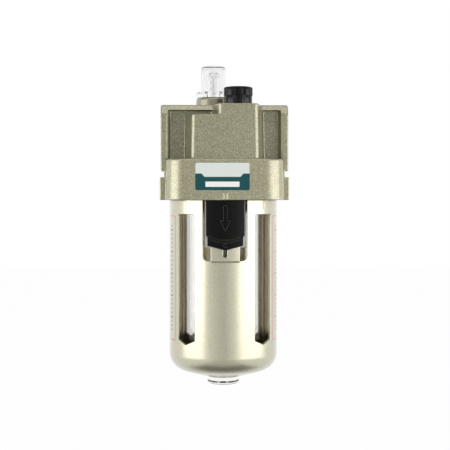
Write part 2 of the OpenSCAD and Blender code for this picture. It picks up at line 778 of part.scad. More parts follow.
module bowl() {
    inner = cup_arc(bowl_in, bowl_corner - bowl_wall, boss_r, bowl_floor_z);
    color(clear) at_joint() rotate_extrude() polygon(concat(
        [[0, -joint_z], [boss_end_r, -joint_z]],
        arc([boss_r - boss_edge, boss_crown + boss_edge - joint_z], boss_edge, 270, 360, 6),
        cup_arc(bowl_r, bowl_corner, boss_r, boss_z),
        [[bowl_r, neck_h], [bowl_flange_r, neck_h], [bowl_flange_r, shoulder_z],
         [spigot_r, shoulder_z], [spigot_r, bowl_groove_z], [bowl_groove_r, bowl_groove_z],
         [bowl_groove_r, bowl_groove_z + bowl_groove_h],
         [spigot_r, bowl_groove_z + bowl_groove_h], [spigot_r, spigot_z], [bowl_in, spigot_z]],
        [for (i = [len(inner) - 1:-1:0]) inner[i]],
        [[0, bowl_floor_z]]));
}

module bowl_oring() {
    color(seal) at_joint() oring(bowl_groove_r, seal_r, bowl_groove_z + bowl_groove_h / 2);
}

// The turned cup of the guard, before its slots and window are cut.
module guard_cup() {
    hole_r = boss_r + fit;
    top_z = -guard_len + guard_wall / cos(guard_slope);
    inner = cup_arc(guard_in, guard_corner - guard_wall, hole_r, top_z);
    rotate_extrude() polygon(concat(
        cup_arc(guard_r, guard_corner, hole_r, -guard_len),
        [[guard_r, 0], [neck_r, 0], [neck_r, neck_h], [neck_in, neck_h], [neck_in, -2],
         [guard_in, -2 - (guard_in - neck_in)]],
        [for (i = [len(inner) - 1:-1:0]) inner[i]]));
}

// One sight slot with round upper corners and a pointed lower end, at the front.
module sight_slot() {
    half = slot_w / 2;
    from_front(guard_in - 4, guard_r + 4) polygon(concat(
        arc([half - slot_corner, -slot_top - slot_corner], slot_corner, 0, 90, 4),
        arc([slot_corner - half, -slot_top - slot_corner], slot_corner, 90, 180, 4),
        [[-half, -slot_foot], [0, -slot_foot - slot_point], [half, -slot_foot]]));
}

module lock_window() {
    from_front(guard_in - 6, guard_r + 4) polygon(concat(
        [[window_w, 3], [-window_w, 3]],
        arc([window_corner - window_w, window_corner - window_len], window_corner, 180, 270, 6),
        arc([window_w - window_corner, window_corner - window_len], window_corner, 270, 360, 6)));
}

// The tongue that stands in front of the window and carries the lock.
module tongue() {
    difference() {
        intersection() {
            union() {
                ring(tongue_in, tongue_r, tongue_edge - tongue_foot, -tongue_top);
                rotate_extrude() polygon(concat(
                    [[guard_r - 0.9, 1 - window_len], [guard_r - 0.9, -tongue_foot]],
                    [for (a = [0:18:90]) [tongue_r - (tongue_r - guard_r) * (1 - sin(a)),
                        tongue_edge * (1 - cos(a)) - tongue_foot]],
                    [[tongue_r, 1 - window_len]]));
            }
            from_front(10, tongue_r + 1) translate([-tongue_w, -tongue_foot - 1])
                square([2 * tongue_w, tongue_foot]);
        }
        from_front(10, tongue_r + 1) polygon(concat(
            [[tongue_slot_w / 2, 1 - rib_top], [-tongue_slot_w / 2, 1 - rib_top]],
            arc([0, tongue_slot_w / 2 - rib_foot - lock_travel - fit], tongue_slot_w / 2, 180, 360, 8)));
    }
}

module bowl_guard() {
    color(paint) at_joint() {
        difference() {
            union() {
                guard_cup();
                for (place = lug_places)
                    ring_part(neck_r - 0.7, lug_r, lug_foot, lug_top, place, lug_angle);
                for (place = [-45, 45]) rotate([0, 0, place]) intersection() {
                    ring(guard_r - 0.7, guard_r + 0.3, -mark_len, -0.5);
                    from_front(10, guard_r + 1) translate([-mark_w / 2, -mark_len - 1])
                        square([mark_w, mark_len + 1]);
                }
            }
            for (i = [0:slot_count - 1]) rotate([0, 0, 45 + 360 * i / slot_count]) sight_slot();
            lock_window();
        }
        tongue();
    }
}

// Front outline of the button, pointed at its foot.
module button_outline() {
    polygon([[button_w, latch_h], [-button_w, latch_h], [-button_w, -button_wide_len],
        [-button_foot_w, -button_wide_len - 1], [-button_foot_w, -button_side_len],
        [0, -button_len], [button_foot_w, -button_side_len],
        [button_foot_w, -button_wide_len - 1], [button_w, -button_wide_len]]);
}

// The arrow that says which way the button is pushed.
module button_arrow() {
    polygon([[1, -3], [-1, -3], [-1, -11], [-2.6, -11], [0, -16.6], [2.6, -11], [1, -11]]);
}

// One curved line of the button's grip, lowest in the middle at height z.
module button_grip(z) {
    translate([0, z + grip_arc]) difference() {
        circle(grip_arc + 0.5, $fn = 96);
        circle(grip_arc, $fn = 96);
        translate([-2 * grip_arc, 4 - grip_arc]) square([4 * grip_arc, 4 * grip_arc]);
    }
}

module lock_button() {
    color(black) at_joint() difference() {
        union() {
            intersection() {
                ring(button_in, button_r, -button_len - 1, latch_h);
                from_front(10, button_r + 1) button_outline();
            }
            from_front(plate_out - 0.5, button_in + 0.5)
                translate([-rib_w / 2, -rib_foot]) square([rib_w, rib_foot - rib_top]);
        }
        translate([0, -spring_mid, -tongue_top - 1 - lock_travel])
            cylinder(h = tongue_top + 1 + lock_travel - spring_top, r = spring_room);
        intersection() {
            ring(button_r - 0.35, button_r + 1, -button_len, 0);
            from_front(10, button_r + 2) {
                button_arrow();
                for (z = [-22.4, -21]) intersection() {
                    button_grip(z);
                    translate([-button_w + 1, -button_len]) square([2 * button_w - 2, 20]);
                }
                translate([0, -24.3]) difference() {
                    circle(1.1, $fn = 24);
                    circle(0.7, $fn = 24);
                }
            }
        }
    }
}

module lock_plate() {
    color([0.80, 0.81, 0.80]) at_joint() difference() {
        intersection() {
            ring(plate_in, plate_out, -plate_len, plate_top);
            from_front(10, plate_out + 1) translate([-plate_w, -plate_len - 1])
                square([2 * plate_w, plate_len + 1]);
        }
        from_front(10, plate_out + 1) translate([-rib_w / 2, -rib_foot])
            square([rib_w, rib_foot - rib_top]);
        translate([0, -spring_mid, -tongue_top - 1 - lock_travel])
            cylinder(h = tongue_top + 1 + lock_travel - spring_top, r = spring_room);
    }
}

// A helix of round wire between two heights, closed at both ends.
module coil(r, wire, z0, z1, turns, sides = 6, steps = 14) {
    count = turns * steps;
    pitch = (z1 - z0 - 2 * wire) / turns;
    points = [for (i = [0:count]) let (a = 360 * i / steps, z = z0 + wire + pitch * i / steps)
        for (k = [0:sides - 1]) let (b = 360 * k / sides, s = r + wire * cos(b))
            [s * cos(a), s * sin(a), z + wire * sin(b)]];
    walls = [for (i = [0:count - 1]) for (k = [0:sides - 1]) let (n = (k + 1) % sides)
        [i * sides + k, i * sides + n, (i + 1) * sides + n, (i + 1) * sides + k]];
    polyhedron(points, concat(walls, [[for (k = [sides - 1:-1:0]) k]],
        [[for (k = [0:sides - 1]) count * sides + k]]));
}

module lock_spring() {
    color([0.75, 0.76, 0.78]) at_joint() translate([0, -spring_mid, 0])
        coil(spring_r, spring_wire, -tongue_top, -spring_top, spring_turns);
}

body();
nameplate();
sight_dome();
drip_nozzle();
dome_oring();
metering_needle();
needle_seat();
filler_plug();
plug_oring();
passage_plug();
damper();
damper_retainer();
retainer_oring();
retainer_screws();
check_ball();
siphon_tube();
strainer();
bowl();
bowl_oring();
bowl_guard();
lock_button();
lock_plate();
lock_spring();
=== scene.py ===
# %% [markdown]
# # An air line lubricator, from its bare solids to a finished picture
# A lubricator hangs in a compressed air line and feeds a little oil mist to the tools behind it.
# The packed solids already have the true shape and place of every piece. This lesson gives them
# their surfaces: champagne paint with metal flakes, clear plastic that bends light, black
# mouldings and a printed nameplate. Everything is in metres, in the frame of the solids.
# %% Load the frame
import math
import bmesh
import bpy
import numpy as np
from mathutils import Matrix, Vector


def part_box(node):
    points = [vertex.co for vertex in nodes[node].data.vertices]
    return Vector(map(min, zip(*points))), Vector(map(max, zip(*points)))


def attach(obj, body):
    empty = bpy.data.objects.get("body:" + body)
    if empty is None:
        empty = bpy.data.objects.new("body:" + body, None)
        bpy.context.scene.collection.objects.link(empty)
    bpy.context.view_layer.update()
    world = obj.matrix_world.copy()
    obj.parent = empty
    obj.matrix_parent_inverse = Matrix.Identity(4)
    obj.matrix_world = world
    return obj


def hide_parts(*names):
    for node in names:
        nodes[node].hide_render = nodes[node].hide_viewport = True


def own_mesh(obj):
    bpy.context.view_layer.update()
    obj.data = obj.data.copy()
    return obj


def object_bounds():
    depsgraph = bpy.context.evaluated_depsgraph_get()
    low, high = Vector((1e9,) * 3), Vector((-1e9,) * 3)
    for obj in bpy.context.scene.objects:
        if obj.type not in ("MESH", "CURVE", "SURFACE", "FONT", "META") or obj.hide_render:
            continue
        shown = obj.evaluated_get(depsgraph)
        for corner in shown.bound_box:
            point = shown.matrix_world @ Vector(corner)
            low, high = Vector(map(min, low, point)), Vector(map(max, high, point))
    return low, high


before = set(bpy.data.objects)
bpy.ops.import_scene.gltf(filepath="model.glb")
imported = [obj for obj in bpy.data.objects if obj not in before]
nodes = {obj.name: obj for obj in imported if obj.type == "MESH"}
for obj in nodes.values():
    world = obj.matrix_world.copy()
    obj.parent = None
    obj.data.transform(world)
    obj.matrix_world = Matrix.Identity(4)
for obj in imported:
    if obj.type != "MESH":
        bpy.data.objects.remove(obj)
cad_low, cad_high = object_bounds()
MM = 0.001

# %% [markdown]
# Heights are easiest to read from the joint plane, where the collar of the body meets the bowl
# guard. They could be typed in, but then a changed solid would leave its surface behind. So the
# plane, and the radii and middles that several pieces share, are measured from the solids' boxes.
# The guard's box includes its raised marks, which stand a little outside the sheet metal.
# %% Shared places
mark_height = 0.39 * MM
joint_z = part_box("body")[0].z
port_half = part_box("body")[1].x
guard_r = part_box("bowl_guard")[1].y - mark_height
dome_low, dome_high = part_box("sight_dome")
dome_x = (dome_low.x + dome_high.x) / 2
plug_low, plug_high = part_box("filler_plug")
plug_x = (plug_low.x + plug_high.x) / 2
plug_y = (plug_low.y + plug_high.y) / 2
bowl_low, bowl_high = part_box("bowl")
print("joint plane", round(joint_z, 4), "port half", round(port_half, 4), "guard", round(guard_r, 4))

# %% [markdown]
# A shader is a graph of nodes, which is hard to read as a list of links. It could be wired by
# hand in the editor, but then nothing explains it. Here one small class wraps a value of the
# graph, so that a mask is written as a sum or a product, as on paper.
# %% Values with arithmetic
class Wire:
    """A value in a shader graph. Arithmetic and comparisons on it add Math nodes."""

    def __init__(self, graph, socket):
        self.graph = graph
        self.socket = socket

    def math(self, operation, other=0.0, swap=False):
        """One Math node on this value and another, with the other one first where swap is true."""
        first, second = (other, self) if swap else (self, other)
        return self.graph.node("ShaderNodeMath", {"operation": operation}, {0: first, 1: second})

    def size(self):
        """The value without its sign."""
        return self.math("ABSOLUTE")

    def __add__(self, other):
        return self.math("ADD", other)

    def __radd__(self, other):
        return self.math("ADD", other, True)

    def __sub__(self, other):
        return self.math("SUBTRACT", other)

    def __rsub__(self, other):
        return self.math("SUBTRACT", other, True)

    def __mul__(self, other):
        return self.math("MULTIPLY", other)

    def __rmul__(self, other):
        return self.math("MULTIPLY", other, True)

    def __truediv__(self, other):
        return self.math("DIVIDE", other)

    def __lt__(self, other):
        return self.math("LESS_THAN", other)

    def __gt__(self, other):
        return self.math("GREATER_THAN", other)


print("a wire can", [name.strip("_") for name, what in vars(Wire).items() if callable(what)])

# %% [markdown]
# The surroundings and the materials are both node trees, so they share one class. Its one method
# for any node takes the settings first, because a node's sockets can change with them.
# %% Graphs
class Graph:
    """A node tree under construction, for a material or for the surroundings."""

    def __init__(self, tree):
        self.tree = tree

    def plug_in(self, socket, value):
        """A link where the value is a wire, and a plain setting where it isn't."""
        if isinstance(value, Wire):
            self.tree.links.new(value.socket, socket)
        else:
            socket.default_value = value

    def node(self, kind, settings=None, sockets=None, out=0):
        """Any node: its settings first, then its sockets. It gives the wire of one output."""
        made = self.tree.nodes.new(kind)
        for key, value in (settings or {}).items():
            setattr(made, key, value)
        for key, value in (sockets or {}).items():
            self.plug_in(made.inputs[key], value)
        return Wire(self, made.outputs[out])

    def apart(self, vector):
        """The three coordinates of a vector."""
        split = self.tree.nodes.new("ShaderNodeSeparateXYZ")
        self.plug_in(split.inputs[0], vector)
        return [Wire(self, out) for out in split.outputs]

    def rays(self, *kinds):
        """1 for rays of any of the kinds, such as Camera or Glossy, and 0 for the rest."""
        found = [self.node("ShaderNodeLightPath", out="Is %s Ray" % kind) for kind in kinds]
        total = found[0]
        for ray in found[1:]:
            total = total.math("MAXIMUM", ray)
        return total

    def ramp(self, value, low, high, start=0.0, stop=1.0):
        """start below low, stop above high, and between them start plus the difference times
        3 t squared less 2 t cubed, where t is the share of the way from low to high."""
        return self.node("ShaderNodeMapRange", {"interpolation_type": "SMOOTHSTEP"},
                         {"Value": value, "From Min": low, "From Max": high,
                          "To Min": start, "To Max": stop})

    def blend(self, share, low, high):
        """The number low where share is 0, and high where it is 1."""
        return self.node("ShaderNodeMix", {}, {"Factor": share, "A": low, "B": high}, "Result")


print("graph helpers", [name for name in vars(Graph) if not name.startswith("_")])

# %% [markdown]
# A finish is a graph with Blender's Principled shader at its end. What is the same all over the
# piece is set once, when the finish is made. What changes over the surface is worked out from the
# point on the piece and goes in last.
# %% Finishes
class Finish(Graph):
    """One material under construction, with its Principled shader."""

    def __init__(self, name, **constants):
        self.material = bpy.data.materials.new(name)
        self.material.use_nodes = True
        super().__init__(self.material.node_tree)
        self.shader = self.tree.nodes["Principled BSDF"]
        for socket, value in constants.items():
            self.shader.inputs[socket.replace("_", " ")].default_value = value

    def surface(self, **sockets):
        """The finished material, with what changes over the surface plugged into its shader."""
        for socket, value in sockets.items():
            self.plug_in(self.shader.inputs[socket.replace("_", " ")], value)
        print("finish", self.material.name, "has", len(self.tree.nodes), "nodes")
        return self.material

    def place(self):
        """The point on the piece, as one vector."""
        return self.node("ShaderNodeTexCoord", out="Object")

    def xyz(self):
        """The three coordinates of the point on the piece, in metres."""
        return self.apart(self.place())

    def noise(self, size, detail):
        """Smooth random values between 0 and 1, with features about size metres across. Each
        step of detail adds a layer with features of half the size and half the strength."""
        return self.node("ShaderNodeTexNoise", None,
                         {"Vector": self.place(), "Scale": 1 / size, "Detail": detail})

    def flakes(self, size):
        """One random value for each flake: the red part of the colour that a Voronoi cell, about
        size metres across, gets by chance."""
        cells = self.node("ShaderNodeTexVoronoi", None,
                          {"Vector": self.place(), "Scale": 1 / size}, "Color")
        return self.node("ShaderNodeSeparateColor", None, {0: cells})

    def mix(self, share, low, high):
        """The colour low where share is 0, and high where it is 1."""
        return self.node("ShaderNodeMix", {"data_type": "RGBA"},
                         {"Factor": share, 6: low, 7: high}, 2)

    def shaded(self, colour, lift):
        """The colour times lift, a number that changes over the surface, in all three parts."""
        grey = self.node("ShaderNodeCombineColor", None, {0: lift, 1: lift, 2: lift})
        return self.node("ShaderNodeMix", {"data_type": "RGBA", "blend_type": "MULTIPLY"},
                         {"Factor": 1.0, 6: colour, 7: grey}, 2)

    def bump(self, height, distance):
        """Normals of a surface that stands out by distance metres where height is 1."""
        return self.node("ShaderNodeBump", None,
                         {"Height": height, "Distance": distance, "Strength": 1.0})


print("finish helpers", [name for name in vars(Finish) if not name.startswith("_")])

# %% [markdown]
# Colours are easiest to name as a screen shows them, with parts from 0 to 255, but a screen's
# numbers don't grow evenly with light, and the shader counts light. The colour picker makes the
# change by itself. In a script it is one short formula, and the screen's numbers stay readable.
# %% Screen colours
def rgb(red, green, blue):
    """A screen colour, 0 to 255, as the linear colour that the shader takes: each part plus
    0.055, over 1.055, to the power of 2.4, and simply over 12.92 where it is nearly black."""
    def linear(part):
        part /= 255
        return part / 12.92 if part <= 0.04045 else ((part + 0.055) / 1.055) ** 2.4
    return (linear(red), linear(green), linear(blue), 1.0)


def darker(colour, share):
    """The colour with its three parts times share."""
    return tuple(share * part for part in colour[:3]) + (1.0,)


print("middle grey is", round(rgb(128, 128, 128)[0], 3), "of white")

# %% [markdown]
# The body is die-cast and sprayed with champagne metallic paint. At this distance the paint shows
# fine flakes, some brighter and some darker than the rest, and the slight orange peel of a thick
# coat over a cast skin. A picture of paint would blur close up and show its seams. So the flakes
# are Voronoi cells with one random value each, and the peel is smooth noise in the bump. The walls
# at the back of the recesses get painted shade: their colour is a little darker, for the light
# that the recess keeps from them. The collar and the rest of the body below its top get painted
# light: their colour is a little lighter, for the light that they catch where they stand out.
# %% Champagne paint on the casting
core_half = 17.0 * MM
recess_foot = joint_z + 22.0 * MM
recess_top = joint_z + 48.6 * MM
recess_end = 30.6 * MM
collar_top = joint_z + 21.5 * MM
flake_size, flake_depth = 0.28 * MM, 0.75
peel_size, peel_height = 0.6 * MM, 0.017 * MM


def recess_painted_shade(paint):
    """The mask of the painted shade: 1 on the walls at the back of the recesses, core_half from the
    air line. It is the product of a soft step up before that depth, a soft step down past it, and
    the recess's limits."""
    x, y, z = paint.xyz()
    before = paint.ramp(y.size(), core_half - 0.4 * MM, core_half)
    past = paint.ramp(y.size(), core_half + 0.4 * MM, core_half + 1.6 * MM, 1.0, 0.0)
    return before * past * (z > recess_foot) * (z < recess_top) * (x.size() < recess_end)


def casting_paint():
    """The colour times 1, plus a share of each flake's value, plus more for the brightest tenth
    of them, plus slow clouds, less on the recess walls for painted shade, and more below the
    collar's top for painted light."""
    paint = Finish("body_paint", Metallic=0.8, Coat_Weight=0.8, Coat_Roughness=0.1, Coat_IOR=1.6)
    flakes = paint.flakes(flake_size)
    clouds = paint.noise(14 * MM, 3.0)
    height = paint.xyz()[2]
    lift = 1.0 + flake_depth * (flakes - 0.5) + 0.3 * (flakes > 0.9) + 0.05 * (clouds - 0.5)
    # Painted shade darkens the recess walls, and painted light lightens the body below the collar's top.
    lift = lift - 0.25 * recess_painted_shade(paint) + 0.1 * (height < collar_top)
    peel = paint.noise(peel_size, 2.0) + 0.35 * flakes
    return paint.surface(Base_Color=paint.shaded(rgb(156, 152, 125), lift),
                         Roughness=0.44 + 0.10 * (flakes - 0.5),
                         Normal=paint.bump(peel, peel_height))


body_paint = casting_paint()

# %% [markdown]
# The guard is a drawn metal cup in the same colour, in a smoother coat. Each side carries a
# printed panel: a red outline with round corners and a plain scale of dark ticks inside. A decal
# would need an unwrapped picture. The print follows the cylinder anyway, so its masks are built
# from the arc length round the axis and the height.
# %% The printed panels
panel_top = joint_z - 8.7 * MM
panel_foot = joint_z - 77.0 * MM
panel_half = math.radians(27.3) * guard_r
panel_corner = 1.4 * MM
line_w = 0.55 * MM


def past_panel(z):
    """How far the height is past the panel's top or foot, less than 0 inside."""
    return (z - (panel_top + panel_foot) / 2).size() - (panel_top - panel_foot) / 2


def outline_mask(around, z):
    """1 on the line of a rectangle with round corners. A point lies so far past the nearest
    corner's centre sideways, and so far upwards. Its way to the outline is the length of what is
    over 0 in the two, or else the larger of them, and less the corner's radius. The line is
    where that way is under half the line's width."""
    side = around.size() - panel_half + panel_corner
    end = past_panel(z) + panel_corner
    side_out = side.math("MAXIMUM", 0.0)
    end_out = end.math("MAXIMUM", 0.0)
    outer = (side_out * side_out + end_out * end_out).math("SQRT") - panel_corner
    inner = side.math("MAXIMUM", end).math("MINIMUM", 0.0)
    return (outer + inner).size() < line_w / 2


print("panel", round(2 * panel_half, 4), "wide,", round(panel_top - panel_foot, 4), "high")

# %% [markdown]
# Two columns of dark ticks run up each panel, near its upright lines, and every fifth tick is
# longer. They could be a hundred thin boxes, but the remainder of a division repeats one tick
# over the whole height.
# %% The scale
tick_pitch, tick_share = 2.4 * MM, 0.45
long_pitch, long_share = 12.0 * MM, 0.2
short_half, long_extra = 1.1 * MM, 0.9 * MM
scale_inset, scale_margin = 5.6 * MM, 5 * MM


def tick_mask(around, z):
    """1 on the ticks: the remainder of the height by the pitch picks the rows, and the arc from
    the column's middle has to be under half a tick, which is longer in every fifth row. The
    columns stand scale_inset inside the panel's sides and end scale_margin before its ends."""
    rows = (z - panel_foot).math("MODULO", tick_pitch) / tick_pitch < tick_share
    long_rows = (z - panel_foot).math("MODULO", long_pitch) / long_pitch < long_share
    half_tick = short_half + long_rows * long_extra
    from_column = (around.size() - (panel_half - scale_inset)).size()
    return rows * (from_column < half_tick) * (past_panel(z) < -scale_margin)


print("ticks", round((panel_top - panel_foot - 2 * scale_margin) / tick_pitch), "in each column")

# %% [markdown]
# The guard's paint takes the two masks, but only on the outer face, which the distance from the
# axis tells from the inner one. The inside is warmer and browner, because it is lit through the
# slots by light that has bounced inside the cup. The print is ink, so it isn't metallic.
# %% Guard paint
def cup_paint():
    """The colour times 1 plus a share of each flake's value, the inner colour where the distance
    from the axis, the root of x squared plus y squared, is small, and the two inks on top."""
    paint = Finish("guard_paint", Coat_Weight=1.0, Coat_Roughness=0.22, Coat_IOR=1.75)
    x, y, z = paint.xyz()
    radius = (x * x + y * y).math("SQRT")
    around = guard_r * y.math("ARCTAN2", x.size())
    outer_face = radius > guard_r - 0.3 * MM
    inner_face = (radius < guard_r - 1.2 * MM) * (z > panel_foot - 8 * MM)
    red = outline_mask(around, z) * outer_face
    tick = tick_mask(around, z) * outer_face
    flakes = paint.flakes(0.30 * MM)
    metal = paint.shaded(rgb(190, 186, 161), 1.0 + 0.24 * (flakes - 0.5))
    both_faces = paint.mix(inner_face, metal, rgb(222, 203, 156))
    printed = paint.mix(red, paint.mix(tick, both_faces, rgb(52, 52, 50)), rgb(205, 70, 75))
    bare = 1 - (red + tick).math("MINIMUM", 1.0)
    return paint.surface(Base_Color=printed, Metallic=0.72 * bare,
                         Roughness=0.32 + 0.06 * (flakes - 0.5),
                         Normal=paint.bump(paint.noise(0.7 * MM, 2.0), 0.010 * MM))


guard_paint = cup_paint()

# %% [markdown]
# The bowl and the sight dome are clear plastic, so that the oil can be seen. A see-through colour
# would be cheaper, but it bends nothing, and the bent lines are what the eye takes for plastic. So
# they have full transmission with the plastic's index. The bowl's wall has a slightly grey tint,
# and its boss below a clearer one, which is painted light: it makes the boss render as bright as
# the white it shows through it. A faint noise in the roughness keeps it from looking like optical
# glass.
# %% Clear plastics
def clear_plastic(name, tint, rough, foot_tint=None):
    """One tint all over, or foot_tint that goes over to tint in a soft step of the height. The
    roughness is rough plus a fiftieth of the noise."""
    plastic = Finish(name, IOR=1.49, Transmission_Weight=1.0)
    haze = plastic.noise(6 * MM, 2.0)
    if foot_tint:
        height = plastic.xyz()[2]
        tint = plastic.mix(plastic.ramp(height, 7.5 * MM, 11 * MM), foot_tint, tint)
    return plastic.surface(Base_Color=tint, Roughness=rough + 0.02 * haze)


# The clearer foot tint is painted light that brightens the boss.
bowl_plastic = clear_plastic("bowl_plastic", (0.83, 0.825, 0.81, 1.0), 0.02, (0.96, 0.955, 0.94, 1.0))
dome_plastic = clear_plastic("dome_plastic", (0.93, 0.93, 0.93, 1.0), 0.07)
drip_plastic = clear_plastic("drip_plastic", (0.84, 0.845, 0.85, 1.0), 0.12)

# %% [markdown]
# Black mouldings are nearly black all over, so their look comes from the reflection: a gloss that
# a fine texture breaks up, a little rougher in patches where hands have been. The edges of the
# engraving on the lock button carry a painted highlight: they are pale in the colour, for the
# light that those edges catch. They could be thin pieces of their own, but a mask on the distance
# from the bowl's axis finds the engraving's walls, which stand just under the face.
# %% Mouldings and rubbers
button_face = -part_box("lock_button")[0].y


def engraving_painted_highlight(plastic):
    """The painted highlight's mask: 1 where the distance from the axis is 0.05 to 0.30 mm less
    than that of the button's face.
    """
    x, y, z = plastic.xyz()
    under = button_face - (x * x + y * y).math("SQRT")
    return (under > 0.05 * MM) * (under < 0.30 * MM) * (x.size() < 9.0 * MM)


def moulded(name, colour, rough, grain=0.35 * MM, depth=0.006 * MM, painted_highlight=None, **constants):
    """The colour, down to 0.82 of it in soft patches, and pale, a painted highlight, where the
    highlight mask is 1. The roughness is rough plus 0.12 times the patches less a half. The
    texture is noise of grain."""
    plastic = Finish(name, **constants)
    patches = plastic.noise(9 * MM, 2.0)
    shade = plastic.mix(plastic.ramp(patches, 0.35, 0.65), colour, darker(colour, 0.82))
    if painted_highlight:
        # Painted highlight: the colour turns pale grey where the highlight mask is 1.
        shade = plastic.mix(painted_highlight(plastic), shade, rgb(112, 112, 110))
    return plastic.surface(Base_Color=shade, Roughness=rough + 0.12 * (patches - 0.5),
                           Normal=plastic.bump(plastic.noise(grain, 3.0), depth))


black_plastic = moulded("black_plastic", rgb(6, 6, 6), 0.11, Specular_IOR_Level=0.25)
# The lock button's engraving edges get a painted highlight in their colour.
button_plastic = moulded("button_plastic", rgb(11, 10, 9), 0.36, depth=0.012 * MM,
                         painted_highlight=engraving_painted_highlight, Specular_IOR_Level=0.13)
pale_plastic = moulded("pale_plastic", rgb(196, 198, 194), 0.45)
milky_plastic = moulded("milky_plastic", rgb(225, 228, 222), 0.4, Subsurface_Weight=0.3)
damper_rubber = moulded("damper_rubber", rgb(52, 52, 56), 0.7)
seal_rubber = moulded("seal_rubber", rgb(28, 28, 30), 0.55)

# %% [markdown]
# The small inner pieces are brass, zinc and steel, finished on a lathe, and the strainer is
# sintered bronze. Turning leaves fine rings. They could be cut into the mesh, but a wave along the
# height draws them at no cost. Bronze beads pressed together are a coarse grain instead, so the
# strainer takes the moulding's finish in metal.
# %% Metals
def turned_metal(name, colour, rough):
    """Rings are a sine of the height. Soft spots darken the colour to 0.8 and roughen it."""
    metal = Finish(name, Metallic=1.0)
    rings = metal.node("ShaderNodeTexWave", {"bands_direction": "Z"},
                       {"Vector": metal.place(), "Scale": 900.0, "Distortion": 0.6})
    spots = metal.noise(1.5 * MM, 2.0)
    return metal.surface(Base_Color=metal.mix(spots, colour, darker(colour, 0.8)),
                         Roughness=rough + 0.1 * spots, Normal=metal.bump(rings, 0.004 * MM))


brass = turned_metal("brass", rgb(200, 165, 95), 0.28)
bronze = moulded("bronze", rgb(150, 115, 75), 0.6, 0.5 * MM, 0.08 * MM, Metallic=0.8)
zinc = turned_metal("zinc", rgb(175, 178, 182), 0.42)
steel = turned_metal("steel", rgb(190, 190, 194), 0.3)

# %% [markdown]
# The nameplate is a printed film, set flush in the collar: a pale upper field that dips in the
# middle, a teal lower field, and an empty white strip. The dip's edge is one height that depends
# on the distance from the middle, so a single comparison draws it.
# %% Nameplate print
name_low, name_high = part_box("nameplate")
name_mid = (name_low + name_high) / 2
dip_depth = 1.75 * MM
strip_half_w, strip_half_h = 9.0 * MM, 1.4 * MM


def name_print():
    """The edge's height is 1.5 mm over the middle, less dip_depth times 1 minus a soft step of
    the distance from the middle. Below it the film is teal. The strip is two comparisons."""
    film = Finish("nameplate_print", Specular_IOR_Level=0.3)
    x, y, z = film.xyz()
    off = (x - name_mid.x).size()
    dip = film.ramp(off, 9.3 * MM, 11.3 * MM)
    edge = (name_mid.z + 1.5 * MM) + (dip - 1.0) * dip_depth
    strip = (off < strip_half_w) * ((z - (name_mid.z - 4.15 * MM)).size() < strip_half_h)
    fibres = film.noise(0.8 * MM, 3.0)
    pale = film.mix(fibres, rgb(222, 229, 221), rgb(230, 236, 229))
    teal = film.mix(fibres, rgb(10, 70, 74), rgb(16, 82, 85))
    fields = film.mix(z < edge, pale, teal)
    return film.surface(Base_Color=film.mix(strip, fields, rgb(248, 248, 246)),
                        Roughness=0.42 + 0.08 * fibres, Normal=film.bump(fibres, 0.004 * MM))


label_film = name_print()

# %% [markdown]
# Now the shapes. A CAD solid has knife edges, and a real casting has none: the light lines along
# the edges are half of what makes painted metal look real. A Bevel modifier could round every
# edge by the same width, but beside a small face that width tears the mesh. So each edge gets a
# weight, its share of the width, from the room that it has at both ends.
# %% Room for a rounding
least_turn = math.radians(24.0)
print("edges that turn by more than", round(math.degrees(least_turn)), "degrees get rounded")


def edge_room(edge, end):
    """How far a rounding can reach at one end: the least distance, square to the edge, to the far
    points of the other edges there. An edge that goes straight on takes no room."""
    along = (edge.other_vert(end).co - end.co).normalized()
    room = 1.0
    for other in end.link_edges:
        if other is edge:
            continue
        way = other.other_vert(end).co - end.co
        goes_on = way.dot(along) < -0.8 * way.length
        if not goes_on:
            room = min(room, (way - along * way.dot(along)).length)
    return room


def weigh_edges(work, width):
    """Each edge that turns by more than least_turn gets the weight 0.42 times its room over the
    width, and 1 at most. Less than half the room leaves some for the edge across from it."""
    weight = work.edges.layers.float.new("bevel_weight_edge")
    for edge in work.edges:
        if len(edge.link_faces) == 2 and edge.calc_face_angle(0.0) > least_turn:
            room = min(edge_room(edge, end) for end in edge.verts)
            edge[weight] = min(1.0, 0.42 * room / width)


# %% [markdown]
# Every piece needs an object to stand in the scene, and a finish with shading that is smooth over
# its curves and breaks at its true edges. Both could be set by hand for each piece, but two
# helpers say it once. The lamps and the camera are put in their places by the first one too.
# %% Objects and their shading
def placed(name, data):
    """An object in the scene, at the origin, with the data: a mesh, a lamp's or a camera's."""
    thing = bpy.data.objects.new(name, data)
    bpy.context.scene.collection.objects.link(thing)
    return thing


def finish_mesh(piece, material, sharp=35.0):
    """Smooth shading that stops at edges which turn by more than sharp degrees."""
    piece.data.materials.clear()
    piece.data.materials.append(material)
    piece.data.shade_smooth()
    piece.data.set_sharp_from_angle(angle=math.radians(sharp))


